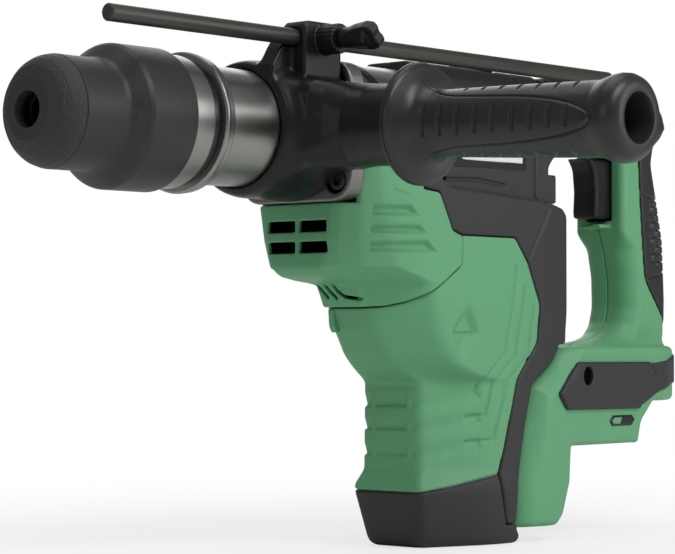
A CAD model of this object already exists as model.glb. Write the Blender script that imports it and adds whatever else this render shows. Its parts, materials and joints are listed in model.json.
import json
import math

import bmesh
import bpy
import numpy as np
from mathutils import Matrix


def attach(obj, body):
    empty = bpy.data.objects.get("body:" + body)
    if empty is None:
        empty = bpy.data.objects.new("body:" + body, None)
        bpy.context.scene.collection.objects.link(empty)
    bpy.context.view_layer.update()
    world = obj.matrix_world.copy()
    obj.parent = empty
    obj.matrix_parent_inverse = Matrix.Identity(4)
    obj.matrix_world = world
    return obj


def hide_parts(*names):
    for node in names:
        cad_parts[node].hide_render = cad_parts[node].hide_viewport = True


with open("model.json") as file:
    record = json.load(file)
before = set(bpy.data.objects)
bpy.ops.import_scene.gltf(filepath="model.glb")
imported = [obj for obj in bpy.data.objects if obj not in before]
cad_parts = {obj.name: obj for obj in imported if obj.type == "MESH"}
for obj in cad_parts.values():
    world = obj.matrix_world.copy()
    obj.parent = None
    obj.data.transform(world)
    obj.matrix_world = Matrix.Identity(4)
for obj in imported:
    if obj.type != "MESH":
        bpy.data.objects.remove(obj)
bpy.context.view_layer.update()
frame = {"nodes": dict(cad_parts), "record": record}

import openvdb
from mathutils import Matrix, Vector

F = np.float32
MM = 0.001
# the pieces are drawn from the nose on the spindle axis; the frame's origin is under the motor cap
OFF = np.array([-275.0, 0.0, 206.0])


# ------------------------------------------------------------------ materials
def shader(name, base, rough, metal=0.0, grain=900.0, bump=0.15, dist=0.00012,
           var=0.06, wear=0.0, stretch=None, rough_var=0.06, coat=0.0, spec=0.5):
    m = bpy.data.materials.new(name)
    m.use_nodes = True
    nt = m.node_tree
    n, l = nt.nodes, nt.links
    p = n["Principled BSDF"]
    p.inputs["Metallic"].default_value = metal
    p.inputs["Roughness"].default_value = rough
    if "Specular IOR Level" in p.inputs:
        p.inputs["Specular IOR Level"].default_value = spec
    if coat and "Coat Weight" in p.inputs:
        p.inputs["Coat Weight"].default_value = coat
        p.inputs["Coat Roughness"].default_value = 0.25
    tc = n.new("ShaderNodeTexCoord")
    mp = n.new("ShaderNodeMapping")
    l.new(tc.outputs["Object"], mp.inputs["Vector"])
    if stretch:
        mp.inputs["Scale"].default_value = stretch
    fine = n.new("ShaderNodeTexNoise")
    fine.inputs["Scale"].default_value = grain
    fine.inputs["Detail"].default_value = 3.0
    l.new(mp.outputs["Vector"], fine.inputs["Vector"])
    big = n.new("ShaderNodeTexNoise")
    big.inputs["Scale"].default_value = 28.0
    big.inputs["Detail"].default_value = 4.0
    l.new(tc.outputs["Object"], big.inputs["Vector"])
    # colour: broad drift and fine mottling
    mix = n.new("ShaderNodeMix")
    mix.data_type = "RGBA"
    lo = [c * (1 - var) for c in base] + [1]
    hi = [min(1, c * (1 + var)) for c in base] + [1]
    mix.inputs["A"].default_value = lo
    mix.inputs["B"].default_value = hi
    add = n.new("ShaderNodeMath")
    add.operation = "MULTIPLY_ADD"
    add.inputs[1].default_value = 0.5
    l.new(fine.outputs["Fac"], add.inputs[0])
    half = n.new("ShaderNodeMath")
    half.operation = "MULTIPLY"
    half.inputs[1].default_value = 0.5
    l.new(big.outputs["Fac"], half.inputs[0])
    l.new(half.outputs[0], add.inputs[2])
    l.new(add.outputs[0], mix.inputs["Factor"])
    out = mix.outputs["Result"]
    if wear:
        geo = n.new("ShaderNodeNewGeometry")
        ramp = n.new("ShaderNodeMapRange")
        ramp.inputs["From Min"].default_value = 0.52
        ramp.inputs["From Max"].default_value = 0.62
        ramp.inputs["To Max"].default_value = wear
        l.new(geo.outputs["Pointiness"], ramp.inputs["Value"])
        mix2 = n.new("ShaderNodeMix")
        mix2.data_type = "RGBA"
        mix2.inputs["B"].default_value = [min(1, c * 1.5 + 0.05) for c in base] + [1]
        l.new(ramp.outputs[0], mix2.inputs["Factor"])
        l.new(out, mix2.inputs["A"])
        out = mix2.outputs["Result"]
    l.new(out, p.inputs["Base Color"])
    rr = n.new("ShaderNodeMapRange")
    rr.inputs["To Min"].default_value = max(0.02, rough - rough_var)
    rr.inputs["To Max"].default_value = min(1.0, rough + rough_var)
    l.new(add.outputs[0], rr.inputs["Value"])
    l.new(rr.outputs[0], p.inputs["Roughness"])
    b = n.new("ShaderNodeBump")
    b.inputs["Strength"].default_value = bump
    b.inputs["Distance"].default_value = dist
    l.new(fine.outputs["Fac"], b.inputs["Height"])
    l.new(b.outputs["Normal"], p.inputs["Normal"])
    m.diffuse_color = (*base, 1)
    return m


GREEN = shader("green plastic", (0.123, 0.375, 0.184), 0.48, grain=1500, bump=0.25, dist=0.0001, var=0.035, wear=0.2, spec=0.4)
DARK = shader("grey plastic", (0.028, 0.0275, 0.028), 0.50, grain=1500, bump=0.3, dist=0.0001, var=0.06, wear=0.2, spec=0.4)
BLACK = shader("black plastic", (0.010, 0.010, 0.0105), 0.38, grain=1200, bump=0.2, dist=0.0001, var=0.08, wear=0.2, spec=0.3)
SATIN = shader("satin black plastic", (0.008, 0.008, 0.0085), 0.34, grain=2200, bump=0.15, dist=0.00008, var=0.08, wear=0.15, spec=0.32)
SLEEVE = shader("matt black plastic", (0.026, 0.026, 0.026), 0.46, grain=2200, bump=0.2, dist=0.0001, var=0.08, wear=0.15, spec=0.4)
RUBBER = shader("soft rubber", (0.018, 0.018, 0.019), 0.36, grain=1000, bump=0.3, dist=0.00012, var=0.1, wear=0.1, spec=0.45)
NOSE = shader("speckled rubber", (0.030, 0.030, 0.030), 0.55, grain=900, bump=1.0, dist=0.0006, var=0.45, wear=0.1, spec=0.4)
STEEL = shader("turned steel", (0.42, 0.41, 0.39), 0.32, 1.0, grain=60, bump=0.10, dist=0.0001, var=0.08, wear=0.1, stretch=(60, 1.5, 1.5), rough_var=0.08)
COVER = shader("satin steel", (0.30, 0.297, 0.285), 0.33, 1.0, grain=60, bump=0.06, dist=0.0001, var=0.05, wear=0.15, stretch=(60, 1.0, 1.0), rough_var=0.05)
ALU = shader("cast aluminium", (0.22, 0.218, 0.21), 0.42, 1.0, grain=900, bump=0.5, dist=0.0002, var=0.1, wear=0.15, rough_var=0.1)
ROD = shader("blackened rod", (0.075, 0.073, 0.066), 0.42, 0.75, grain=40, bump=0.25, dist=0.0002, var=0.3, wear=0.1, stretch=(1, 30, 30), rough_var=0.12)
COPPER = shader("enamelled copper", (0.45, 0.16, 0.06), 0.35, 0.8, grain=120, bump=0.8, dist=0.0005, var=0.2, stretch=(1, 1, 12))
BOARD = shader("circuit board", (0.02, 0.10, 0.05), 0.35, grain=400, bump=0.2, var=0.15, coat=0.3)
LABEL = shader("label black", (0.006, 0.006, 0.006), 0.3, grain=1800, bump=0.05, var=0.05)
VOID = shader("unlit gap", (0.002, 0.002, 0.002), 0.95, grain=900, bump=0.1, dist=0.0001, var=0.1, wear=0.0, spec=0.02)
WHITE = shader("label white", (0.80, 0.80, 0.79), 0.4, grain=1800, bump=0.05, var=0.02)


# ------------------------------------------------------------------ field helpers (millimetres)
class Grid:
    """A block of sample points.  half=True stops at y = 0, for shapes alike on both sides."""

    def __init__(self, x, y, z, h, half=False):
        self.h = h
        self.half = half
        lo = np.array([x[0], y[0], z[0]], float) - 2.5 * h
        hi = np.array([x[1], y[1], z[1]], float) + 2.5 * h
        if half:
            lo[1] = -math.ceil(-lo[1] / h) * h
            hi[1] = 0.0
        n = np.round((hi - lo) / h).astype(int) + 1
        self.lo, self.n = lo, n
        ax = [(lo[i] + h * np.arange(n[i])).astype(F) for i in range(3)]
        self.x = ax[0][:, None, None]
        self.y = ax[1][None, :, None]
        self.z = ax[2][None, None, :]


def poly(u, v, pts):
    """Signed distance to a closed polygon, below zero inside."""
    pts = np.asarray(pts, float)
    u, v = np.broadcast_arrays(u, v)
    best = np.full(u.shape, 1e9, F)
    inside = np.zeros(u.shape, bool)
    for i in range(len(pts)):
        a, b = pts[i - 1], pts[i]
        e = b - a
        ll = float(e @ e)
        if ll < 1e-12:
            continue
        wx, wy = u - F(a[0]), v - F(a[1])
        t = np.clip((wx * F(e[0]) + wy * F(e[1])) * F(1 / ll), 0, 1)
        dx, dy = wx - t * F(e[0]), wy - t * F(e[1])
        best = np.minimum(best, dx * dx + dy * dy)
        if abs(e[1]) > 1e-9:
            cross = (a[1] > v) != (b[1] > v)
            inside ^= cross & (u < (e[0] / e[1]) * (v - a[1]) + a[0])
    return np.where(inside, -1, 1).astype(F) * np.sqrt(best)


def line(u, v, pts):
    """Distance to an open polyline."""
    pts = np.asarray(pts, float)
    u, v = np.broadcast_arrays(u, v)
    best = np.full(u.shape, 1e9, F)
    for a, b in zip(pts[:-1], pts[1:]):
        e = b - a
        wx, wy = u - F(a[0]), v - F(a[1])
        t = np.clip((wx * F(e[0]) + wy * F(e[1])) * F(1 / max(1e-9, float(e @ e))), 0, 1)
        dx, dy = wx - t * F(e[0]), wy - t * F(e[1])
        best = np.minimum(best, dx * dx + dy * dy)
    return np.sqrt(best)


def fillet(pts, r, n=4):
    """Each corner of a closed outline replaced by an arc; r is one radius or one per corner."""
    out = []
    pts = [np.array(p, float) for p in pts]
    rs = r if hasattr(r, "__len__") else [r] * len(pts)
    for i, p in enumerate(pts):
        a, b = pts[i - 1], pts[(i + 1) % len(pts)]
        la, lb = np.linalg.norm(a - p), np.linalg.norm(b - p)
        if rs[i] <= 0 or min(la, lb) < 1e-6:
            out.append(p)
            continue
        ca = np.clip(np.dot(a - p, b - p) / (la * lb), -1, 1)
        turn = math.pi - math.acos(ca)
        t = min(rs[i] * math.tan(turn / 2), 0.45 * la, 0.45 * lb)
        if t < 1e-3:
            out.append(p)
            continue
        s, e = p + (a - p) / la * t, p + (b - p) / lb * t
        for k in range(n + 1):
            q = k / n
            out.append((1 - q) ** 2 * s + 2 * q * (1 - q) * p + q * q * e)
    return np.array(out)


def inter(a, b, r=0.0):
    """Intersection with a rounded edge of radius r."""
    if r <= 0:
        return np.maximum(a, b)
    r = F(r)
    return np.minimum(-r, np.maximum(a, b)) + np.hypot(np.maximum(a + r, 0), np.maximum(b + r, 0))


def join(a, b, r=0.0):
    """Union with a filleted corner of radius r."""
    if r <= 0:
        return np.minimum(a, b)
    r = F(r)
    return np.maximum(r, np.minimum(a, b)) - np.hypot(np.maximum(r - a, 0), np.maximum(r - b, 0))


def cut(a, b, r=0.0):
    return inter(a, -b, r)


def smax(a, b, k):
    h = np.maximum(k - np.abs(a - b), 0) / F(k)
    return np.maximum(a, b) + h * h * F(k * 0.25)


def smin(a, b, k):
    return -smax(-a, -b, k)


def step(e0, e1, x):
    t = np.clip((x - F(e0)) / F(e1 - e0), 0, 1)
    return t * t * (3 - 2 * t)


def box(g, x, y, z, r=0.0):
    qx = np.abs(g.x - F((x[0] + x[1]) / 2)) - F((x[1] - x[0]) / 2 - r)
    qy = np.abs(g.y - F((y[0] + y[1]) / 2)) - F((y[1] - y[0]) / 2 - r)
    qz = np.abs(g.z - F((z[0] + z[1]) / 2)) - F((z[1] - z[0]) / 2 - r)
    out = np.sqrt(np.maximum(qx, 0) ** 2 + np.maximum(qy, 0) ** 2 + np.maximum(qz, 0) ** 2)
    return out + np.minimum(np.maximum(np.maximum(qx, qy), qz), 0) - F(r)


def tube(d, away, r):
    """A round groove of radius r along the curve where the field 'away' is zero, on the surface d."""
    return np.maximum(d, F(r) - np.hypot(away, d))


def trilinear(f, lo, h, p):
    q = (p - lo) / h
    i = np.clip(np.floor(q).astype(int), 0, np.array(f.shape) - 2)
    t = np.clip(q - i, 0, 1)
    out = 0
    for dx in (0, 1):
        for dy in (0, 1):
            for dz in (0, 1):
                w = (t[:, 0] if dx else 1 - t[:, 0]) * (t[:, 1] if dy else 1 - t[:, 1]) * (t[:, 2] if dz else 1 - t[:, 2])
                out = out + w * f[i[:, 0] + dx, i[:, 1] + dy, i[:, 2] + dz]
    return out


def new_mesh(name, pts, quads, tris):
    me = bpy.data.meshes.new(name)
    me.vertices.add(len(pts))
    me.vertices.foreach_set("co", ((np.asarray(pts) + OFF) * MM).astype(np.float32).ravel())
    loops = np.concatenate([np.asarray(quads).reshape(-1), np.asarray(tris).reshape(-1)]).astype(np.int32)
    me.loops.add(len(loops))
    me.loops.foreach_set("vertex_index", loops)
    nq, nt = len(quads), len(tris)
    start = np.concatenate([np.arange(nq) * 4, nq * 4 + np.arange(nt) * 3]).astype(np.int32)
    me.polygons.add(nq + nt)
    me.polygons.foreach_set("loop_start", start)
    me.update(calc_edges=True)
    me.validate()
    return me


def add(name, me, mat, body, replaces=(), slot=None):
    o = bpy.data.objects.new(name, me)
    bpy.context.scene.collection.objects.link(o)
    me.materials.clear()
    me.materials.append(mat)
    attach(o, body)
    if replaces:
        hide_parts(*replaces)
    return o


def surface(name, g, f, mat, body, replaces=(), keep=0.4, mirror=False, slot=None):
    """The zero surface of a field as a mesh.  A half grid is doubled, or mirror=True makes the right-hand copy."""
    f = np.broadcast_to(f, tuple(g.n)).astype(F)
    lo = g.lo.copy()
    if g.half and mirror is False:
        f = np.concatenate([f, f[:, -2::-1, :]], axis=1)
    elif g.half:
        pad = np.full((f.shape[0], 3, f.shape[2]), 3.0, F)
        f = np.concatenate([f, pad], axis=1)
    f = np.clip(f, -3, 3)
    f[0], f[-1], f[:, 0], f[:, -1], f[:, :, 0], f[:, :, -1] = 3, 3, 3, 3, 3, 3
    grid = openvdb.FloatGrid(3.0)
    grid.copyFromArray(np.ascontiguousarray(f))
    pts, quads = grid.convertToQuads(0.0)
    pts = np.asarray(pts, float) * g.h + lo
    quads = np.asarray(quads)
    me = new_mesh(name, pts, quads, np.zeros((0, 3), int))
    o = bpy.data.objects.new(name, me)
    bpy.context.scene.collection.objects.link(o)
    if keep < 1:
        md = o.modifiers.new("d", "DECIMATE")
        md.ratio = keep
        dg = bpy.context.evaluated_depsgraph_get()
        me2 = bpy.data.meshes.new_from_object(o.evaluated_get(dg))
        o.modifiers.clear()
        me = me2
        me.name = name
    bpy.data.objects.remove(o)
    co = np.zeros(len(me.vertices) * 3, np.float32)
    me.vertices.foreach_get("co", co)
    p = co.reshape(-1, 3).astype(float) / MM - OFF
    e = g.h * 0.75
    nrm = np.stack([
        trilinear(f, lo, g.h, p + np.array(dv) * e) - trilinear(f, lo, g.h, p - np.array(dv) * e)
        for dv in ((1, 0, 0), (0, 1, 0), (0, 0, 1))], -1)
    nrm /= np.maximum(np.linalg.norm(nrm, axis=1, keepdims=True), 1e-9)
    # faces must look outwards
    q = np.zeros(len(me.polygons) * 3, np.float32)
    me.polygons.foreach_get("normal", q)
    first = np.zeros(len(me.polygons), np.int32)
    me.polygons.foreach_get("loop_start", first)
    vi = np.zeros(len(me.loops), np.int32)
    me.loops.foreach_get("vertex_index", vi)
    if (q.reshape(-1, 3) * nrm[vi[first]]).sum() < 0:
        me.flip_normals()
    me.shade_smooth()
    me.normals_split_custom_set_from_vertices(nrm.tolist())
    made = add(name, me, mat, body, replaces, slot)
    return made


def mirrored(o, name, mat, body, replaces=()):
    """A copy on the other side of the middle plane."""
    src = o.data
    co = np.zeros(len(src.vertices) * 3, np.float32)
    src.vertices.foreach_get("co", co)
    p = co.reshape(-1, 3).astype(float) / MM
    p[:, 1] *= -1
    nr = np.zeros(len(src.loops) * 3, np.float32)
    src.corner_normals.foreach_get("vector", nr)
    vi = np.zeros(len(src.loops), np.int32)
    src.loops.foreach_get("vertex_index", vi)
    nv = np.zeros((len(src.vertices), 3))
    nv[vi] = nr.reshape(-1, 3)
    nv[:, 1] *= -1
    me = src.copy()
    me.name = name
    me.vertices.foreach_set("co", (p * MM).astype(np.float32).ravel())
    me.flip_normals()
    me.update()
    me.shade_smooth()
    me.normals_split_custom_set_from_vertices(nv.tolist())
    return add(name, me, mat, body, replaces)


def place(axis, a, r, t):
    c, s = r * np.cos(t), r * np.sin(t)
    if axis == "x":
        return np.stack([a + 0 * c, c, s], -1)
    if axis == "y":
        return np.stack([s, a + 0 * c, c], -1)
    return np.stack([c, s, a + 0 * c], -1)


def lathe(name, axis, prof, mat, body, replaces=(), at=(0, 0, 0), seg=96, r=0.5, shift=None, turn=None, sharp=32):
    """A turned piece with a closed profile of (axial, radius), its corners rounded by r."""
    pr = fillet(prof, r, 3) if r else np.array(prof, float)
    t = np.arange(seg) * 2 * math.pi / seg
    rad = pr[:, 1][:, None] + (shift(pr[:, 0][:, None], t[None, :]) if shift else 0)
    p = place(axis, pr[:, 0][:, None], rad, t[None, :])
    n, k = len(pr), seg
    i, j = np.meshgrid(np.arange(n), np.arange(k), indexing="ij")
    i2, j2 = (i + 1) % n, (j + 1) % k
    quads = np.stack([i * k + j, i2 * k + j, i2 * k + j2, i * k + j2], -1).reshape(-1, 4)
    pts = p.reshape(-1, 3)
    if turn is not None:
        pts = pts @ np.array(turn).T
    pts = pts + np.array(at)
    me = new_mesh(name, pts, quads, np.zeros((0, 3), int))
    bm = bmesh.new()
    bm.from_mesh(me)
    bmesh.ops.remove_doubles(bm, verts=bm.verts, dist=1e-6)
    bmesh.ops.dissolve_degenerate(bm, edges=bm.edges, dist=1e-7)
    bmesh.ops.recalc_face_normals(bm, faces=bm.faces)
    bm.to_mesh(me)
    bm.free()
    me.shade_smooth()
    me.set_sharp_from_angle(angle=math.radians(sharp))
    return add(name, me, mat, body, replaces)


# ------------------------------------------------------------------ chuck and barrel
lathe("nose_rubber", "x", [
    (0.15, 8.3), (0.0, 8.5), (0.0, 13.0), (0.25, 14.0), (3.2, 19.8), (6.4, 22.9), (9.6, 24.6), (12.2, 25.2), (12.7, 25.3), (12.7, 20.8), (21.8, 20.8),
    (21.8, 14.7), (3.8, 14.7), (3.8, 8.3)], NOSE, "spindle", ["front_cap"], r=[0, 0, 0.4, 1.5, 6, 6, 5, 2, 0, 0, 0, 0, 0, 0])
lathe("bore_ring_outer", "x", [(4.2, 7.9), (4.2, 9.75), (6.2, 9.75), (6.2, 7.9)], BLACK, "spindle", r=0.3)
lathe("bore_ring_inner", "x", [(9.0, 7.5), (9.0, 9.2), (11.5, 9.2), (11.5, 7.5)], LABEL, "spindle", r=0.3)
lathe("bore_liner", "x", [(6.3, 9.0), (6.3, 9.25), (86, 9.25), (86, 9.0)], LABEL, "spindle", r=0)
lathe("sleeve", "x", [
    (13.0, 21.3), (13.0, 24.9), (13.6, 25.5), (36.0, 25.5), (38.2, 26.0), (40.4, 28.2), (44.4, 32.0), (46.4, 33.1), (72.6, 33.1),
    (73.1, 32.6), (73.1, 31.7), (59, 31.7), (59, 22.5), (45, 22.5), (45, 17.6), (34, 17.6), (34, 21.3)],
      SLEEVE, "chuck_sleeve", ["chuck_sleeve"], r=[0, 0.4, 0.4, 1.5, 3, 3, 3, 3, 0.4, 0.3, 0, 0, 0, 0, 0, 0, 0])
lathe("metal_cover", "x", [
    (73.7, 20.7), (73.7, 30.6), (74.2, 31.0), (85.4, 31.0), (86.2, 30.6), (86.6, 29.2), (91.0, 29.2), (91.2, 32.0), (91.9, 32.8),
    (92.8, 33.0), (94.2, 32.6), (96.6, 32.5), (97.6, 31.8), (97.8, 29.0), (97.8, 20.7)], COVER, "body", ["front_cover"], r=0.3, seg=160)
lathe("cover_groove_ring", "x", [(86.75, 29.0), (86.75, 29.7), (90.9, 29.7), (90.9, 29.0)], LABEL, "body", r=0.1, seg=120)
lathe("barrel", "x", [
    (98.2, 21.3), (98.2, 27.4), (98.8, 28.0), (172.0, 28.0), (172.0, 26.1), (100, 26.1), (100, 21.3)],
      COVER, "body", ["cylinder_case"], r=0.3, seg=128)

g = Grid((172, 182), (-36.5, 0), (-34, 34), 0.55, half=True)
sec = poly(g.y, g.z, fillet([(-36.5, -34), (36.5, -34), (36.5, 34), (-36.5, 34)], 14, 8))
f = inter(sec, np.abs(g.x - F(177)) - F(5), 1.0)
rad = np.hypot(g.y, g.z)
f = np.maximum(f, 26.1 - rad)
for bz in (-23.5, 22):
    q = np.hypot(g.y + F(26), g.z - F(bz))
    f = cut(f, np.maximum(q - F(6.4), g.x - F(178.6)), 0.8)
    f = np.maximum(f, -(q - F(3.5)))
surface("barrel_flange", g, f, ALU, "body", keep=0.5)


def socket_bolt(name, y, z, node):
    g = Grid((173, 194), (y - 6, y + 6), (z - 6, z + 6), 0.35)
    q = np.hypot(g.y - F(y), g.z - F(z))
    head = inter(q - F(5.2), np.abs(g.x - F(175.7)) - F(2.5), 0.6)
    u, v = np.abs(g.y - F(y)), np.abs(g.z - F(z))
    hexa = np.maximum(u * F(0.866) + v * F(0.5), v) - F(2.5)
    head = cut(head, np.maximum(hexa, g.x - F(176.4)), 0.2)
    shank = inter(q - F(3) + F(0.18) * np.cos(g.x * F(2 * math.pi / 1.25)), np.abs(g.x - F(186)) - F(8), 0.4)
    surface(name, g, join(head, shank, 0.3), ROD, "body", [node], keep=0.6)


for i, (y, z) in enumerate([(-26, -23.5), (26, -23.5), (-26, 22), (26, 22)]):
    socket_bolt("socket_bolt_%d" % (i + 1), y, z, "flange_bolt_%d" % (i + 1))

lathe("case_tube_front", "x", [(188.0, 35.6), (188.0, 36.85), (197.0, 36.85), (197.0, 35.6)], STEEL, "body", r=0.2, seg=160)
lathe("case_tube_rear", "x", [(202.0, 35.6), (202.0, 36.85), (240.2, 36.85), (240.2, 35.6)], STEEL, "body", r=0.2, seg=160)
lathe("case_band_front", "x", [(186.0, 36.6), (186.0, 37.2), (189.0, 37.2), (189.0, 36.6)], ALU, "body", r=0.2)
lathe("case_band_rear", "x", [(196.5, 36.6), (196.5, 37.4), (202.5, 37.4), (202.5, 36.6)], BLACK, "body", r=0.25)


g = Grid((303, 323), (-27, 27), (-158, -142), 0.6)
f = inter(np.hypot(g.x - F(318), g.z + F(150)) - F(4), np.abs(g.y) - F(26), 0.6)
surface("pivot_pin_bar", g, join(f, box(g, (304.8, 322), (-10, 10), (-156.8, -143.2), 1.0), 0.5), STEEL, "body", ["pivot_pin"], keep=0.3)


# ------------------------------------------------------------------ motor column, covers, cap
g = Grid((205, 351), (-38.6, 0), (-206.5, 42), 0.8, half=True)
zs = [-206, -202, -178, -174.5, -171, -167, -122, -119, -114, -108, -101, -96, -85, -14, 60]
px0 = [246.5, 244.8, 239.6, 239.6, 241.4, 243.4, 243.4, 237.0, 229, 222, 217.5, 214, 210.5, 206, 206]
pw0 = [16.5, 18.2, 22.4, 22.4, 20.8, 19.2, 18.6, 16, 14, 12.8, 12.2, 11.8, 13, 15, 15]
px1 = [289, 290, 291, 291, 291, 291, 289, 270, 256, 249, 244, 241, 237, 228, 228]
pw1 = [32.5, 33.6, 35.5, 35.3, 35.0, 34.6, 34.6, 34.8, 35, 35.4, 35.5, 35.7, 36.5, 36.5, 36.5]
zz = g.z.ravel()
ker = np.hanning(max(3, int(7 / g.h) | 1))
ker /= ker.sum()


def along(vals):
    dense = np.interp(zz, zs, vals)
    padn = len(ker) // 2
    sm = np.convolve(np.pad(dense, padn, mode="edge"), ker, mode="valid")
    return sm.astype(F)[None, None, :]


x0, w0, x1, w1 = (along(v) for v in (px0, pw0, px1, pw1))
ay = np.abs(g.y)
ln = np.hypot(x1 - x0, w1 - w0)
front = x0 - g.x
slant = ((g.x - x0) * -(w1 - w0) + (ay - w0) * (x1 - x0)) / ln
side = ay - w1
rear = g.x - F(350)
cham = ((g.x - F(331.5)) * F(3.2) + (ay - w1) * F(18.5)) / F(18.775)
col = smax(front, slant, 4.0)
col = smax(col, side, 4.0)
col = smax(col, cham, 1.5)
col = inter(col, rear, 2.0)
col = inter(col, F(-206) - g.z, 3.0)
inner = col + F(2.6)

# green motor housing
region = fillet([
    (200, -85.0), (207, -85.1), (217.2, -84.4), (225.0, -82.0), (239.9, -73.6), (256.4, -63.6), (257.2, -48.2), (300.2, -48.2), (310.7, -60.6), (321, -82),
    (320, -102.2), (303.8, -121), (293.4, -157), (289.4, -169.6), (262, -174.4), (240, -177.4), (236, -177.6), (200, -177.6)],
    [0, 3, 6, 6, 6, 4, 1.5, 3, 2, 6, 8, 8, 3, 3, 10, 10, 1, 0])
rg = poly(g.x, g.z, region)
c2 = col
# faceted lozenge recess on each side
loz = poly(g.x, g.z, [(262, -79.0), (271.4, -96.9), (257, -112.8), (249.2, -96.4)])
upper_part = (g.z > F(-97.0))
loz_depth = np.where(upper_part, np.clip(-loz * F(0.7), 0, 2.8) * step(-79, -92, g.z), np.clip(-loz * F(1.0), 0, 3.6))
c2 = c2 + loz_depth
# three raised-step lines
for pts in ([(301.2, -63.1), (292.3, -108.8), (276.1, -122.2), (275.2, -127.5)],
            [(308.0, -73.9), (301.1, -109.9), (285.1, -122.8), (280.9, -139.4), (270.3, -140.3)],
            [(315.6, -82.6), (312.1, -110.0), (296.0, -121.9), (285.9, -152.0), (270.3, -153.0)]):
    c2 = tube(c2, line(g.x, g.z, pts), 0.95)
# three stepped bands round the front corner
rib_z = g.z - F(0.13) * np.maximum(g.x - F(247), 0)
for top, low in ((-127.4, -134.6), (-140.4, -146.4), (-153.2, -159.4)):
    ramp = np.clip((F(top) - rib_z) / F(top - low), 0, 1) * step(low - 0.6, low + 0.3, rib_z)
    wide = step(278.6, 277.6, g.x) * (step(10.4, 9.6, ay) + step(12.6, 13.6, ay))
    c2 = c2 + F(1.3) * ramp * wide
    loz_depth = loz_depth + F(1.3) * ramp * wide
f = inter(c2, rg, 0.7)
f = np.maximum(f, -(inner + loz_depth))
surface("motor_housing_shell", g, f, GREEN, "body", ["motor_housing"], keep=0.36)

# dark cap
cap = fillet([(230, -178.1), (240, -177.9), (262, -174.9), (289.6, -170.1), (295.9, -196.1), (304.5, -196.1), (304.8, -199.0), (309, -203), (308, -207.5), (230, -207.5)],
             [0, 2, 10, 2, 1, 1, 0.5, 2, 2, 0])
cg = poly(g.x, g.z, cap)
f = inter(inter(col, cg, 0.8), g.x - F(308.4), 3)
f = np.maximum(f, -np.maximum(inner, g.x - F(292)))
surface("motor_cap_shell", g, f, DARK, "body", ["motor_cap"], keep=0.36)

band = poly(g.x, g.z, [(230, -176.4), (240, -176.2), (262, -173.2), (290, -168.4), (290.6, -172.4), (262, -177.1), (240, -180.1), (230, -180.3)])
surface("cap_gasket", g, np.maximum(np.maximum(col + F(0.9), band), -(col + F(3.2))), LABEL, "body", keep=0.3)

# dark covers: lower region of the column joined to the upper block
low_region = fillet([
    (225.6, -25.5), (239, -26.6), (249, -45.4), (256.8, -47.7), (300.5, -47.7), (311.3, -60.3), (321.7, -81.8), (320.6, -102.5), (304.4, -121.4),
    (294, -157), (290.2, -170.1), (296.4, -195.6), (304.3, -195.6), (304.6, -176), (311, -147), (317.8, -123), (337, -111.2), (342.3, -103.6), (351.5, -102.8),
    (351.5, -36), (345, -31), (331, -28.4), (250, -24), (231, -14.5)],
    [2, 2, 3, 3, 3, 2, 6, 8, 8, 3, 2, 2, 1, 8, 8, 8, 4, 2, 0, 6, 3, 2, 6, 2])
lg = poly(g.x, g.z, low_region)
low = inter(col, lg, 1.6)
slope = ((ay - F(30.5)) * F(20.8) + (g.z - F(20)) * F(16.5)) / F(26.55)
up = smax(ay - F(30.5), slope, 3.0)
up = inter(up, g.z - F(40.8), 2.0)
lead = ((g.x - F(240.5)) * F(-67) + (g.z - F(41)) * F(-11.5)) / F(67.98)
up = inter(up, lead, 1.0)
flare = F(8.0) * step(-11, 1, g.z)
tail = np.minimum(g.x - F(337.6) - flare, np.maximum(g.x - F(344.2), np.abs(g.z + F(20.8)) - F(7.6)))
up = inter(up, tail, 1.5)
up = inter(up, F(-34) - g.z, 0)
f = join(low, up, 2.2)
seam = line(g.x, g.z, [(324.4, 60), (324.4, -26.0), (331.0, -31), (310.6, -60.6)])
f = tube(f, seam, 1.1)
f = tube(f, line(g.x, g.z, [(250, -19.8), (276, -18.8), (299, -20.6)]), 1.0)
# shallow panel step above the seam line, and ribs beside the dial
f = f + F(0.7) * step(20.2, 19.4, np.abs(g.x - F(284))) * step(2.2, 1.4, np.abs(g.z - F(27))) * (g.z > 0)
hollow = np.minimum(np.where(g.z < F(-33), inner, F(9)), np.maximum(up + F(2.3), g.x - F(335.4)))
hollow = np.minimum(hollow, np.maximum(np.maximum(ay - F(28.2), np.abs(g.z + F(26.5)) - F(13.5)), g.x - F(335.4)))
hollow = np.minimum(hollow, np.maximum(np.maximum(ay - F(33.3), g.x - F(240.5)), F(-60) - g.z))
f = np.maximum(f, -hollow)
f = np.maximum(f, -np.maximum(np.hypot(g.x - F(306), g.y) - F(14.1), F(39.2) - g.z))
f = np.maximum(f, -np.maximum(np.hypot(g.x - F(306), g.y) - F(4.5), F(20) - g.z))
f = np.maximum(f, -np.maximum(np.hypot(g.y, g.z) - F(36.9), g.x - F(240.3)))
f = np.maximum(f, -np.maximum(np.hypot(g.y, g.z) - F(27.0), g.x - F(300)))
f = np.maximum(f, -np.maximum(np.maximum(ay - F(16), np.abs(g.z - F(15)) - F(17)), F(330) - g.x))
f = np.maximum(f, g.y + F(0.15))
left = surface("cover_left_shell", g, f, DARK, "body", ["left_cover"], keep=0.36, mirror=True)
mirrored(left, "cover_right_shell", DARK, "body", ["right_cover"])


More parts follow.
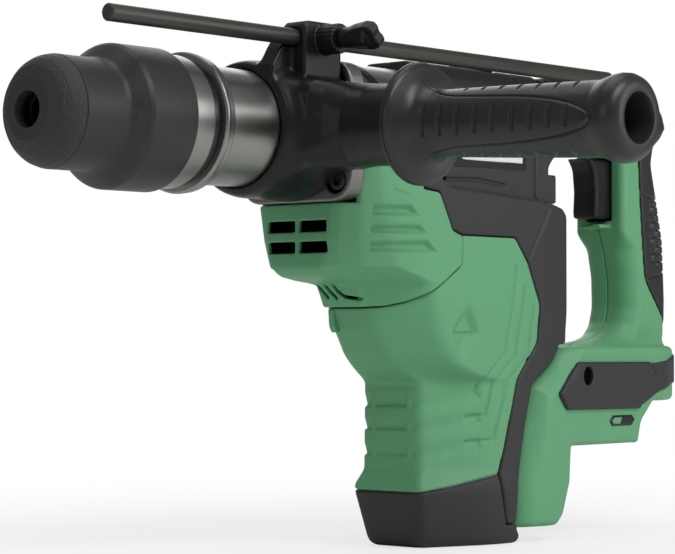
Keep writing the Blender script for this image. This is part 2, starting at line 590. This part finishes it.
def plate(name, outline, y, thick, mat, body, r=0.4):
    """A thin plate with rounded edges lying on a side face at y, growing away from the middle plane."""
    pts = np.array(outline, float)
    lo, hi = pts.min(0), pts.max(0)
    g = Grid((lo[0], hi[0]), (min(y, y + thick), max(y, y + thick)), (lo[1], hi[1]), 0.42)
    f = inter(poly(g.x, g.z, pts), np.abs(g.y - F(y + thick / 2)) - F(abs(thick) / 2), r)
    return surface(name, g, f, mat, body, keep=0.25)


for sgn, tag in ((-1, "left"), (1, "right")):
    plate("label_plate_" + tag, fillet([(250, -12.8), (317, -12.2), (317, 9), (250, 9)], 1.2), sgn * 30.3, sgn * 0.7, LABEL, "body", 0.2)
    plate("label_bar_" + tag, fillet([(263, -9.2), (313.5, -8.9), (313.5, 4.5), (263, 4.5)], 0.8), sgn * 30.95, sgn * 0.35, WHITE, "body", 0.1)


# ------------------------------------------------------------------ front housing
g = Grid((170.5, 258), (-38, 38), (-86.5, -13), 0.62)
rings = [
    (-90.0, [(173, 12.5), (190, 12.5), (209, 12.5), (236, 36.8)]),
    (-84.8, [(173, 12.5), (190, 12.5), (209, 12.5), (236, 36.8)]),
    (-73.5, [(173, 12.2), (186, 12.4), (202, 12.6), (231, 37.4)]),
    (-71.0, [(172.8, 12.2), (183, 15.0), (200, 23.0), (227, 37.5)]),
    (-65.0, [(172.6, 16.0), (177, 21.5), (187, 29.5), (206, 37.2)]),
    (-52.0, [(172.6, 19.5), (176, 24.6), (184.6, 31.4), (200, 37.2)]),
    (-34.0, [(172.6, 22.5), (175.6, 27.4), (183.2, 33.0), (195, 37.2)]),
    (0.0, [(172.6, 22.5), (175.6, 27.4), (183.2, 33.0), (195, 37.2)]),
]
hull = np.zeros(tuple(g.n), F)
rz = [r[0] for r in rings]
rp = np.array([r[1] for r in rings], float)
for k, z in enumerate(g.z.ravel()):
    hp = np.array([[np.interp(z, rz, rp[:, i, j]) for j in range(2)] for i in range(4)])
    ring = [tuple(p) for p in hp] + [(275, hp[-1, 1]), (275, -hp[-1, 1])] + [(p[0], -p[1]) for p in hp[::-1]]
    ring = fillet(ring, [3, 8, 10, 14, 0, 0, 14, 10, 8, 3], 3)
    hull[:, :, k] = poly(g.x[:, :, 0], g.y[:, :, 0], ring)
outline = fillet([
    (172.5, -34.4), (172.6, -66.0), (177.0, -69.8), (199, -72.6), (201.6, -74.0), (206.0, -84.5), (216.8, -83.8), (224.4, -81.5), (239.3, -73.0),
    (255.8, -63.0), (256.6, -48.4), (248.6, -46), (238.4, -27.2), (225, -26), (229, -14), (186, -14), (182.6, -17), (182.6, -34.4)],
    [1, 5, 6, 3, 3, 1.5, 6, 6, 6, 4, 1.5, 3, 3, 2, 2, 4, 3, 1])
og = poly(g.x, g.z, outline)
h2 = hull
for pts in ([(188.9, -35.0), (215.9, -34.0), (222.4, -39.8), (189.4, -40.6)], [(188.8, -44.6), (222.7, -43.6), (229.0, -48.6), (189.4, -49.2)],
            [(188.8, -52.6), (228.9, -51.3), (236.6, -57.6), (190.2, -58.2)]):
    pd = poly(g.x, g.z, pts)
    h2 = h2 + np.clip(-pd * F(1.15), 0, 2.4) * step(26, 29, np.abs(g.y))
h2 = tube(h2, line(g.x, g.z, [(203, -27.4), (214, -29.6)]), 0.6)
f = inter(h2, og, 1.0)
f = np.maximum(f, -np.maximum(h2 + F(2.4) + F(2.2) * step(-58, -66, g.z), poly(g.x, g.z, [
    (175.4, -30), (175.4, -64.5), (179.0, -67.2), (200, -69.8), (205.5, -72.6), (210.5, -88), (270, -88), (270, -10), (175.4, -10)])))
for z0, z1 in ((-48.2, -42.6), (-58.4, -52.8)):
    for y0, y1 in ((1.3, 19.4), (-19.4, -1.3)):
        f = cut(f, box(g, (165, 180), (y0, y1), (z0, z1), 0.8), 0.5)
for pts in ([(12.0, -73.6), (10.6, -75.6), (7.6, -79.4)], [(7.0, -73.6), (5.4, -76.2), (2.0, -79.8)],
            [(1.7, -73.6), (0.2, -76.2), (-3.6, -79.2), (-12.4, -80.4)]):
    sl = line(g.y, g.z, pts)
    f = cut(f, np.maximum(np.maximum(sl - F(0.85), g.x - F(207.4)), F(198) - g.x), 0.3)
surface("front_housing_shell", g, f, GREEN, "body", ["front_housing"], keep=0.36)
g = Grid((179, 182), (-25, 25), (-64, -38), 0.5)
surface("vent_screen", g, box(g, (180.2, 181.4), (-23, 23), (-63, -39), 0.5), VOID, "body", keep=0.3)
g = Grid((205, 214), (-14, 14), (-84, -70), 0.5)
f = np.maximum(np.abs(g.y) - F(10.4) - np.maximum(g.x - F(208), 0) * F(0.5), np.abs((g.x - F(209.2)) + (g.z + F(77)) * F(0.27)) - F(0.7))
f = np.maximum(f, np.abs(g.z + F(77)) - F(5.5))
surface("slit_screen", g, f, LABEL, "body", keep=0.3)
g = Grid((207, 218), (7, 15), (-98, -84), 0.4)
f = inter(poly(g.x, g.z, fillet([(210, -85.2), (218, -85.2), (218, -97), (212.6, -97), (210.8, -94)], 0.8)), np.abs(g.y - F(11.2)) - F(1.8), 0.6)
surface("housing_tab", g, f, GREEN, "body", keep=0.4)


# ------------------------------------------------------------------ rear handle and dock
g = Grid((302, 478), (-41, 0), (-199, 42), 0.8, half=True)
ay = np.abs(g.y)
dock_out = fillet([
    (306.2, -198.3), (305.9, -176), (312.6, -147), (319.4, -124.3), (338.2, -112.6), (343.6, -105.4), (355.6, -104.4), (468, -104.4), (468.6, -125),
    (459, -134.9), (424, -134.6), (412, -146), (409, -157.3), (347.4, -157.3), (346.2, -176), (340, -193), (334.5, -198.3)],
    [1, 8, 10, 8, 8, 6, 2, 3, 6, 6, 3, 8, 1.2, 2, 10, 8, 5])
d1 = poly(g.x, g.z, dock_out)
plan = fillet([(300, -36.5), (318, -36.8), (326, -38.5), (434, -38.5), (452, -31), (462, -22), (468.6, -12), (468.6, 12), (462, 22), (452, 31), (434, 38.5),
               (326, 38.5), (318, 36.8), (300, 36.5)], [0, 10, 10, 20, 14, 12, 10, 10, 12, 14, 20, 10, 10, 0])
d2 = poly(g.x, g.y, plan)
frontline = line(g.x, g.z, [(305, -205), (305.9, -176), (312.6, -147), (319.4, -124.3), (338.2, -112.6), (345, -104)])
waist = F(8.0) * np.clip(1 - frontline / F(13), 0, 1) ** 2
dock = inter(d1, d2 + waist, 3.4)
grip_out = fillet([
    (350.6, -2), (350.6, 39), (366, 41.2), (440, 41.2), (455, 40), (464, 36.4), (470, 30), (474.0, 20), (468.5, 13), (461, 7.5), (459, -1),
    (464.4, -21), (470.2, -44), (471.4, -66), (472.0, -78), (471.4, -98), (469.6, -106), (466, -114), (400, -114), (400, -104), (414, -101), (424, -97),
    (430, -91), (432.8, -82), (432.3, -66), (428.6, -50), (424.4, -40), (424.4, 3.4), (396, 5.2), (364, 5.2), (355, 1.5)],
    [2, 3, 6, 10, 8, 6, 5, 4, 4, 5, 8, 20, 20, 20, 20, 10, 8, 0, 0, 0, 8, 8, 8, 12, 20, 8, 3, 3, 6, 6, 3])
gp = poly(g.x, g.z, grip_out)
edge = F(4.0) + F(8.0) * np.maximum(step(436, 452, g.x), step(-40, -52, g.z))
a_, b_ = gp, ay - F(16.8)
grip = np.minimum(-edge, np.maximum(a_, b_)) + np.hypot(np.maximum(a_ + edge, 0), np.maximum(b_ + edge, 0))
shelf = box(g, (414.6, 430), (-8, 8), (-38.4, -36), 0.8)
outer = join(dock, grip, 5.0)
outer = join(outer, shelf, 0.8)
dock_in = poly(g.x, g.z, [
    (309.2, -195.6), (308.8, -176), (315.5, -147.2), (321.6, -126.2), (339.6, -115), (345, -107.8), (465.2, -107.2), (465.6, -130), (423, -131.6),
    (409, -144.5), (406.4, -160), (350.4, -160), (350.4, -154.2), (344.5, -154.2), (343.3, -175.4), (337.6, -191.6), (333.4, -195.6)])
cav = np.maximum(dock_in, np.maximum(d2, d2 + waist) + F(2.6))
grip_in = poly(g.x, g.z, [
    (344, 4), (344, 36), (366, 38.2), (440, 38.2), (454.4, 37), (464, 33.8), (469.4, 28.4), (472.8, 20.6), (469, 15.6), (461.4, 9), (459, -1),
    (464.4, -21.6), (470.2, -44.5), (472.2, -66), (472.2, -78), (470, -97), (466.4, -105), (463, -114), (436, -114), (436, -82), (435, -66),
    (431, -50), (427.4, -42), (427.4, 8.2), (364, 8.2), (355, 4.6)])
cav = np.minimum(cav, np.maximum(inter(grip_in, ay - F(14.2), 7.0), grip + F(2.6)))
shell = np.maximum(outer, -cav)
shell = np.maximum(shell, -box(g, (300, 324), (-24, 24), (-163, -137), 0))
shell = np.maximum(shell, -box(g, (400, 428), (-8.6, 8.6), (-34, 1.2), 0))
shell = np.maximum(shell, -np.maximum(np.hypot(g.x - F(318), g.z + F(150)) - F(4.5), ay - F(27)))
over_pts = lambda e: fillet([(440 + e, 46), (440 + e, -4), (441.4 + e, -24.5), (445.6 + e, -66.5), (461.6 + e, -86), (473.6 + e, -98), (500, -98), (500, 46)],
                            [0, 8, 10, 20, 12, 4, 0, 0])
og0 = poly(g.x, g.z, over_pts(0))
base = np.maximum(shell, -og0)
f = base
f = np.maximum(f, g.y + F(0.03))
hl = surface("handle_left_body", g, f, GREEN, "handle", ["handle_left_shell"], keep=0.36, mirror=True)
mirrored(hl, "handle_right_body", GREEN, "handle", ["handle_right_shell"])


def honey(u, v, s):
    a = (np.mod(u / s, 1) - 0.5, np.mod(v / s, 1.7320508) - 0.8660254)
    b = (np.mod(u / s - 0.5, 1) - 0.5, np.mod(v / s - 0.8660254, 1.7320508) - 0.8660254)
    near = (a[0] ** 2 + a[1] ** 2) < (b[0] ** 2 + b[1] ** 2)
    gx, gy = np.abs(np.where(near, a[0], b[0])), np.abs(np.where(near, a[1], b[1]))
    return (0.5 - np.maximum(gx * 0.5 + gy * 0.8660254, gx)) * s


gg = Grid((437, 478), (-18, 0), (-99, 42), 0.55, half=True)


def resample(field):
    q = [np.clip((a.ravel() - g.lo[i]) / g.h, 0, g.n[i] - 1.001) for i, a in enumerate((gg.x, gg.y, gg.z))]
    lo_ = [np.floor(v).astype(int) for v in q]
    t = [(v - w).astype(F) for v, w in zip(q, lo_)]
    out = np.zeros(tuple(gg.n), F)
    for dx in (0, 1):
        for dy in (0, 1):
            for dz in (0, 1):
                w = ((t[0] if dx else 1 - t[0])[:, None, None] * (t[1] if dy else 1 - t[1])[None, :, None]
                     * (t[2] if dz else 1 - t[2])[None, None, :])
                out += w * field[np.ix_(lo_[0] + dx, lo_[1] + dy, lo_[2] + dz)]
    return out


outer_g, cav_g = resample(np.broadcast_to(outer, tuple(g.n))), resample(np.broadcast_to(cav, tuple(g.n)))
zone = step(-60, -56, gg.z) * step(-22, -26, gg.z) * step(446, 450, gg.x + gg.z * F(0.06))
cell = honey(gg.y * 1.0 + gg.x * 0.55, gg.z, 5.2)
skin = outer_g - F(0.5) + F(1.15) * zone * step(0.95, 0.3, cell)
for pts in ([(440, -18), (460, -21.5), (480, -24)], [(443, -67), (462, -63.5), (480, -57)]):
    skin = tube(skin, line(gg.x, gg.z, pts), 0.9)
f = inter(skin, poly(gg.x, gg.z, over_pts(0.35)), 1.2)
f = np.maximum(f, -cav_g)
surface("grip_rubber", gg, f, RUBBER, "handle", ["grip_overmold"], keep=0.45)

g3 = Grid((349, 400), (-20, 0), (-4, 45), 0.6, half=True)
gq = poly(g3.x, g3.z, grip_out)
ed = F(4.0)
cb = np.abs(g3.y) - F(16.8)
neckf = np.minimum(-ed, np.maximum(gq, cb)) + np.hypot(np.maximum(gq + ed, 0), np.maximum(cb + ed, 0))
f = inter(inter(neckf - F(1.1), np.maximum(F(350.2) - g3.x, g3.x - F(394)), 0.7), -(neckf + F(0.4)), 0)
surface("neck_sleeve", g3, f, RUBBER, "handle", keep=0.55)

# hexagonal side panel with the strap that runs round the back
q = Grid((330, 478), (-42, 0), (-141, -100), 0.6, half=True)
d1b = poly(q.x, q.z, dock_out)
d2b = poly(q.x, q.y, plan)
wb = F(8.0) * np.clip(1 - line(q.x, q.z, [(312.6, -147), (319.4, -124.3), (338.2, -112.6), (345, -104)]) / F(13), 0, 1) ** 2
skin = inter(d1b, d2b + wb, 3.4)
hexa = poly(q.x, q.z, fillet([(351.4, -112.5), (333.9, -129.4), (341, -137.9), (407.5, -138.5), (423.4, -121.3), (417.6, -113.0)], [3, 2, 3, 3, 1.5, 2]))
strap = poly(q.x, q.z, fillet([(408, -113.6), (424, -113.6), (440, -112.0), (462, -107.6), (480, -102), (480, -122.4), (462, -124.3), (445, -125.6), (427, -129.4),
                               (412, -136.0), (406, -136.0)], [0, 10, 10, 10, 0, 0, 10, 10, 6, 2, 0]))
hexp = inter(inter(skin - F(2.2), hexa, 1.5), -(skin + F(0.3)), 0.0)
strp = inter(inter(skin - F(1.1), strap, 0.7), -(skin + F(0.4)), 0.0)
strp = np.maximum(strp, F(0.8) - hexa)
f = np.minimum(hexp, strp)
f = np.maximum(f, -(np.hypot((q.x - F(358.7)) / F(0.84), q.z + F(120.1)) - F(5.0)))
f = np.maximum(f, q.y + F(0.03))
pl = surface("panel_left", q, f, DARK, "handle", ["side_panel_left"], keep=0.6, mirror=True)
mirrored(pl, "panel_right", DARK, "handle", ["side_panel_right"])
for sgn, tag in ((-1, "left"), (1, "right")):
    plate("panel_eyelet_" + tag, fillet([(354.2, -125.6), (363.2, -125.6), (363.2, -114.6), (354.2, -114.6)], 2.0), sgn * 38.3, sgn * 0.45, VOID, "handle", 0.1)
    plate("badge_" + tag, fillet([(383, -141.6), (401, -141.6), (404, -144.4), (400.5, -147.6), (382.6, -147.6), (380, -144.8)], 0.8),
          sgn * 38.3, sgn * 0.6, LABEL, "handle", 0.2)
    plate("badge_field_" + tag, fillet([(384.6, -142.8), (391.6, -142.8), (389.6, -146.5), (383.6, -146.5), (382, -144.8)], 0.5),
          sgn * 38.8, sgn * 0.35, GREEN, "handle", 0.1)


# ------------------------------------------------------------------ trigger
g = Grid((401, 446), (-9, 0), (-35, 2), 0.45, half=True)
ay = np.abs(g.y)
tp = poly(g.x, g.z, fillet([(410, -33), (409.6, -29), (410.4, -18), (409, -6), (405.4, -1), (403, 0.4), (427.6, 0.4), (427.6, -33)],
                           [3, 6, 14, 8, 4, 0.6, 1, 1]))
f = inter(tp, ay - F(8), 2.4)
f = join(f, inter(np.hypot(g.y, g.z + F(14)) - F(3.2), np.abs(g.x - F(435)) - F(9), 0.5), 0.5)
surface("trigger_blade", g, f, BLACK, "trigger", ["trigger"], keep=0.4)


# ------------------------------------------------------------------ side handle
DROOP = math.radians(2.03)
tilt = [[1, 0, 0], [0, math.cos(DROOP), -math.sin(DROOP)], [0, math.sin(DROOP), math.cos(DROOP)]]
g = Grid((130, 186), (-83, 34), (-35, 51), 0.62)
rr = np.hypot(g.y, g.z)
R = np.interp(g.x.ravel(), [131, 132.2, 134, 138, 171.4], [29.6, 31.2, 32.2, 33.0, 33.4]).astype(F)[:, None, None]
ring = inter(rr - R, np.abs(g.x - F(151.2)) - F(20.2), 1.6)
yn = (g.y * F(math.cos(DROOP)) + (g.z - F(2.2)) * F(math.sin(DROOP)))
zn = (-g.y * F(math.sin(DROOP)) + (g.z - F(2.2)) * F(math.cos(DROOP)))
ys = [-84, -60, -52, -44, -38, -24, -10]


def ny_(v):
    return np.interp(yn.ravel(), ys, v).reshape(yn.shape).astype(F)


cx, hx, rc = ny_([165, 165, 164.9, 163.4, 161, 156, 153.2]), ny_([19, 19, 19.4, 21, 22.6, 20, 18.2]), ny_([18.9, 18.8, 17.5, 12, 9.5, 9, 8])
ht, hb = ny_([19, 19.5, 20.0, 20.7, 21.3, 22.8, 26]), ny_([19, 19.2, 19.6, 20.0, 20.6, 23.0, 28])
qx, qz = np.abs(g.x - cx) - (hx - rc), np.where(zn > 0, zn - (ht - rc), -zn - (hb - rc))
neck = np.hypot(np.maximum(qx, 0), np.maximum(qz, 0)) + np.minimum(np.maximum(qx, qz), 0) - rc
neck = inter(neck, np.maximum(yn + F(6), F(-82.4) - yn), 1.0)
f = join(ring, neck, 6.0)
holder = inter(poly(g.x, g.z, fillet([(145, 20), (171, 20), (171, 50.5), (147.5, 50.5), (145, 48)], [0, 0, 2, 2, 2])), np.abs(g.y + F(23.8)) - F(7.4), 1.2)
web = inter(poly(g.x, g.z, fillet([(131.8, 22), (132.2, 29), (138.0, 38.0), (144, 46), (152, 46), (152, 22)], [0, 3, 3, 0, 0, 0])), np.abs(g.y + F(17.5)) - F(5.0), 1.2)
ba = np.arctan2(g.z - F(42), g.x - F(159))
boss = inter(np.hypot(g.x - F(159), g.z - F(42)) - F(7.1) + F(0.22) * np.cos(ba * F(20)), np.abs(g.y + F(35)) - F(7), 0.8)
f = join(f, web, 3.0)
f = join(f, holder, 2.0)
f = join(f, boss, 0.8)
f = cut(f, np.maximum(rr - F(28.4), g.x - F(171.5)), 0.6)
f = np.maximum(f, -np.maximum(rr - F(45.3), F(171.4) - g.x))
f = cut(f, np.hypot(g.y + F(24), g.z - F(42.8)) - F(4.35), 0.6)
f = np.maximum(f, -np.maximum(np.hypot(g.x - F(159), g.z - F(42)) - F(3.4), g.y + F(24)))
f = np.maximum(f, -(np.hypot(g.x - F(165), zn) - F(5.5)))
f = np.maximum(f, -np.maximum(np.hypot(g.x - F(165), zn) - F(9.4), F(-51.4) - yn))
surface("clamp_body", g, f, SATIN, "clamp", ["handle_clamp"], keep=0.4)

UP_S = [96, 100.5, 104, 109, 114.5, 125, 136, 150, 160, 171.5, 181, 187, 190.5, 192.5, 193.7, 194.3]
UP_A = [72, 63, 55, 49, 46, 43, 41, 38.5, 35, 29.5, 22, 15, 9.5, 5, 1, -2]
LO_S = [96, 104, 108, 111.5, 118, 130, 142.5, 160.5, 170, 178, 187, 190.5, 193, 194.3]
LO_A = [-67, -59, -54.5, -51, -47, -44.5, -42, -36, -31.5, -27, -19, -14, -8, -2]


def wrap(a):
    return (a + 180) % 360 - 180


ARC = math.pi / 180 * 16.2


def grip_detail(s, t):
    """Leaf-shaped grooves and cross slits on the grip; s runs along the handle (negative), t is the angle."""
    s = -s
    outside = (s > 92) & (s < 196)
    # angle 0 faces the nose side (-X), 90 is the top
    deg = np.degrees(np.arctan2(np.cos(t), -np.sin(t)))
    out = np.zeros(np.broadcast(s, t).shape)
    for centre in (0, 180):
        a = wrap(deg - centre) * (1 if centre == 0 else -1)
        up, lo = np.interp(s, UP_S, UP_A), np.interp(s, LO_S, LO_A)
        for us, ua in ((UP_S, UP_A), (LO_S, LO_A)):
            dist = line(s, a * ARC, [(i, j * ARC) for i, j in zip(us, ua)])
            out = out - 0.65 * np.exp(-(dist / 0.55) ** 2)
        inside = np.clip(np.minimum(up - a, a - lo) * 0.28 / 1.2, 0, 1)
        out = out + 0.35 * inside * ((s > 96) & (s < 194.3))
        for k, sc in enumerate([98.4, 108.6, 119.1, 129.3, 139.8, 150.8, 161.1, 171.0, 180.3]):
            hi_, lo_ = 28 - k * 1.2, -26 + k * 1.6
            mid, half = (hi_ + lo_) / 2, (hi_ - lo_) / 2
            body_ = np.clip(1.15 - (np.abs(a - mid) / half) ** 4, 0, 1)
            out = out - 1.15 * np.exp(-(((s - sc) / 0.95) ** 4)) * body_
    for centre, side in ((90, 1), (-90, -1)):
        a = wrap(deg - centre)
        for side2 in (1, -1):
            b = a * side * side2
            for k in range(7):
                # each slit runs from near the crest down to the edge of the panel
                sc, low = 117 + 10.6 * k, 28 + 3.0 * k
                body_ = np.clip((low - b) / 6, 0, 1) * np.clip((b - 5) / 5, 0, 1)
                out = out - 0.9 * np.exp(-(((s - sc - (b - low) * 0.07) / 0.8) ** 4)) * body_
    return np.where(outside, out, 0)


grip_prof = [(-83.3, 5.6), (-83.3, 23.5), (-84.0, 27.0), (-85.2, 28.1), (-87.2, 28.3), (-88.6, 27.6), (-89.4, 25.6), (-90.6, 22.4), (-92.4, 19.4), (-95.2, 17.0)]
for s_ in np.arange(97.0, 196.0, 0.45):
    grip_prof.append((-s_, float(np.interp(s_, [95.2, 99, 104, 140, 187, 189, 191, 194, 197], [17.0, 15.7, 15.5, 16.3, 16.9, 17.0, 17.3, 18.3, 19.2]))))
grip_prof += [(-197, 19.2), (-200, 19.6), (-203, 19.4), (-205.6, 18.2), (-207.4, 15.8), (-208, 13.2), (-207.8, 11.4), (-206.4, 10.6),
              (-160, 10.4), (-136, 10), (-136, 8), (-129, 5.6)]
lathe("side_handle_grip", "y", grip_prof, RUBBER, "side_grip", ["side_grip"], at=(165, 0, 2.2), seg=300, r=0, shift=grip_detail, turn=tilt, sharp=50)
lathe("flange_rim", "y", [(-84.6, 28.0), (-84.6, 28.55), (-86.2, 28.6), (-86.2, 28.0)], RUBBER, "side_grip", at=(165, 0, 2.2), seg=120, r=0.2, turn=tilt)

lathe("depth_rod_bar", "x", [(25.0, 0.0), (25.0, 3.2), (25.8, 4.0), (399.2, 4.0), (400.0, 3.2), (400.0, 0.0)], ROD, "depth_rod", ["depth_rod"],
      at=(0, -24, 42.8), seg=48, r=0.15)

g = Grid((149, 169), (-67, -28), (31, 52), 0.42)
bq = np.hypot(g.x - F(159), g.z - F(42))
stem = inter(bq - F(3) + F(0.15) * np.cos(g.y * F(2 * math.pi / 1.0)), np.abs(g.y + F(38)) - F(8.8), 0.4)
hub = inter(bq - F(5.3) + F(0.5) * np.clip((g.y + F(52)) / F(10), 0, 1), np.abs(g.y + F(51.2)) - F(8.2), 1.6)
ang = math.radians(47)
u = (g.x - F(159)) * F(math.cos(ang)) - (g.z - F(42)) * F(math.sin(ang))
v = (g.x - F(159)) * F(math.sin(ang)) + (g.z - F(42)) * F(math.cos(ang))
blade = inter(poly(u, g.y, fillet([(-3.4, -46.5), (-5.6, -52), (-6.8, -60), (-5.8, -64.2), (-2.8, -64.8), (0, -63.9), (2.8, -64.8), (5.8, -64.2), (6.8, -60), (5.6, -52), (3.4, -46.5)],
                                  [1, 4, 4, 2, 2, 3, 2, 2, 4, 4, 1])), np.abs(v) - F(2.9), 0.8)
surface("wing_bolt_body", g, join(join(hub, blade, 1.5), stem, 0.4), BLACK, "wing_bolt", ["wing_bolt"], keep=0.5)


# ------------------------------------------------------------------ dial, bellows, pivot
g = Grid((291, 321), (-14.5, 14.5), (32.5, 44.6), 0.45)
q = np.hypot(g.x - F(306), g.y)
ta = np.arctan2(g.y, g.x - F(306))
disc = inter(q - F(13.4) + F(0.25) * np.clip(np.cos(ta * F(36)), 0, 1), np.abs(g.z - F(40.6)) - F(1.3), 0.6)
bar_ = inter(poly(g.x, g.y, fillet([(293.6, -3.4), (293.6, 3.4), (316, 3.4), (319, 0), (316, -3.4)], 1.5)), np.abs(g.z - F(42.2)) - F(1.4), 0.7)
post = inter(q - F(4), np.abs(g.z - F(36.8)) - F(3.6), 0.4)
surface("dial_knob", g, join(join(disc, bar_, 0.8), post, 0.4), BLACK, "mode_dial", ["mode_dial"], keep=0.45)

g = Grid((338, 346.2), (-16.5, 0), (0, 33), 0.4, half=True)
fold = F(0.9) * np.cos((g.x - F(338.5)) * F(2 * math.pi / 2.4))
sec = poly(g.y, g.z - F(16.5), fillet([(-15.4, -15.3), (15.4, -15.3), (15.4, 15.3), (-15.4, 15.3)], 5, 6))
f = np.maximum(sec + fold * F(0.5) + F(0.4), np.abs(g.x - F(342.15)) - F(3.6))
f = np.maximum(f, -(sec + F(2.6) + fold * F(0.5)))
surface("bellows_rubber", g, f, RUBBER, "body", ["bellows"], keep=0.45)


# ------------------------------------------------------------------ carried-over CAD nodes
NODE_MAT = {
    "soft_rubber": RUBBER, "machined_steel": STEEL, "cast_aluminium": ALU, "black_plastic": BLACK, "winding": COPPER, "board": BOARD,
    "housing_green": GREEN, "cover_grey": DARK, "blackened_steel": ROD,
}
slot_of = {s["node"]: s["material_slot"] for s in frame["record"]["subparts"]}
for name, o in frame["nodes"].items():
    o.data.materials.clear()
    o.data.materials.append(NODE_MAT[slot_of[name]])
    o.data.shade_smooth()
    o.data.set_sharp_from_angle(angle=math.radians(32))


# ------------------------------------------------------------------ stage, light, camera
def area(name, loc, target, size, power, color=(1, 1, 1), size_y=None):
    light = bpy.data.lights.new(name, "AREA")
    light.energy = power
    light.size = size
    light.color = color
    if size_y:
        light.shape = "RECTANGLE"
        light.size_y = size_y
    o = bpy.data.objects.new(name, light)
    o.location = loc
    o.rotation_euler = (Vector(target) - Vector(loc)).to_track_quat("-Z", "Y").to_euler()
    bpy.context.scene.collection.objects.link(o)
    return o


MID = (-0.02, -0.05, 0.14)
area("key", (-0.25, -1.05, 1.25), MID, 1.0, 10.5, size_y=0.5)
area("side", (0.75, -1.45, 0.55), MID, 0.9, 7)
area("front", (-1.5, 0.1, 0.55), MID, 0.5, 1.2)
area("top", (0.0, 0.15, 1.45), MID, 1.0, 4.5)
area("back", (0.9, 1.2, 0.9), MID, 1.0, 6)

floor_me = bpy.data.meshes.new("floor")
s = 9.0
floor_me.from_pydata([(-s, -s, -0.0002), (s, -s, -0.0002), (s, s, -0.0002), (-s, s, -0.0002)], [], [(0, 1, 2, 3)])
floor = bpy.data.objects.new("floor", floor_me)
bpy.context.scene.collection.objects.link(floor)
fm = bpy.data.materials.new("floor")
fm.use_nodes = True
pb = fm.node_tree.nodes["Principled BSDF"]
pb.inputs["Base Color"].default_value = (0.9, 0.9, 0.9, 1)
pb.inputs["Roughness"].default_value = 0.9
floor_me.materials.append(fm)
# pale floor that runs out to white away from the object
fn, fl = fm.node_tree.nodes, fm.node_tree.links
emit = fn.new("ShaderNodeEmission")
mixer = fn.new("ShaderNodeMixShader")
coord = fn.new("ShaderNodeTexCoord")
away = fn.new("ShaderNodeVectorMath")
away.operation = "LENGTH"
fade = fn.new("ShaderNodeMapRange")
fade.interpolation_type = "SMOOTHSTEP"
for key, value in (("From Min", 0.12), ("From Max", 0.62), ("To Min", 0.7), ("To Max", 1.0)):
    fade.inputs[key].default_value = value
seen = fn.new("ShaderNodeLightPath")
both = fn.new("ShaderNodeMath")
both.operation = "MULTIPLY"
fl.new(coord.outputs["Object"], away.inputs[0])
fl.new(away.outputs["Value"], fade.inputs["Value"])
fl.new(fade.outputs[0], both.inputs[0])
fl.new(seen.outputs["Is Camera Ray"], both.inputs[1])
fl.new(both.outputs[0], mixer.inputs["Fac"])
fl.new(pb.outputs[0], mixer.inputs[1])
fl.new(emit.outputs[0], mixer.inputs[2])
fl.new(mixer.outputs[0], fn["Material Output"].inputs["Surface"])

world = bpy.data.worlds.new("studio")
bpy.context.scene.world = world
world.use_nodes = True
wn, wl = world.node_tree.nodes, world.node_tree.links
wn["Background"].inputs["Color"].default_value = (1, 1, 1, 1)
# white behind the object, softer where it lights it
path = wn.new("ShaderNodeLightPath")
glow = wn.new("ShaderNodeMapRange")
glow.inputs["To Min"].default_value = 0.21
glow.inputs["To Max"].default_value = 1.0
wl.new(path.outputs["Is Camera Ray"], glow.inputs["Value"])
wl.new(glow.outputs[0], wn["Background"].inputs["Strength"])
bpy.context.scene.view_settings.view_transform = "Standard"

cam_data = bpy.data.cameras.new("camera")
cam_data.sensor_width = 36
cam_data.lens = 128.96
cam_data.clip_start = 0.01
cam_data.clip_end = 60
cam = bpy.data.objects.new("camera", cam_data)
az, el = math.radians(41.8), math.radians(1.39)
look = Vector((math.cos(az) * math.cos(el), math.sin(az) * math.cos(el), math.sin(el)))
cam.location = (-0.6925 - 0.275, -0.8006, -0.0986 + 0.206)
cam.rotation_euler = look.to_track_quat("-Z", "Y").to_euler()
bpy.context.scene.collection.objects.link(cam)
bpy.context.scene.camera = cam
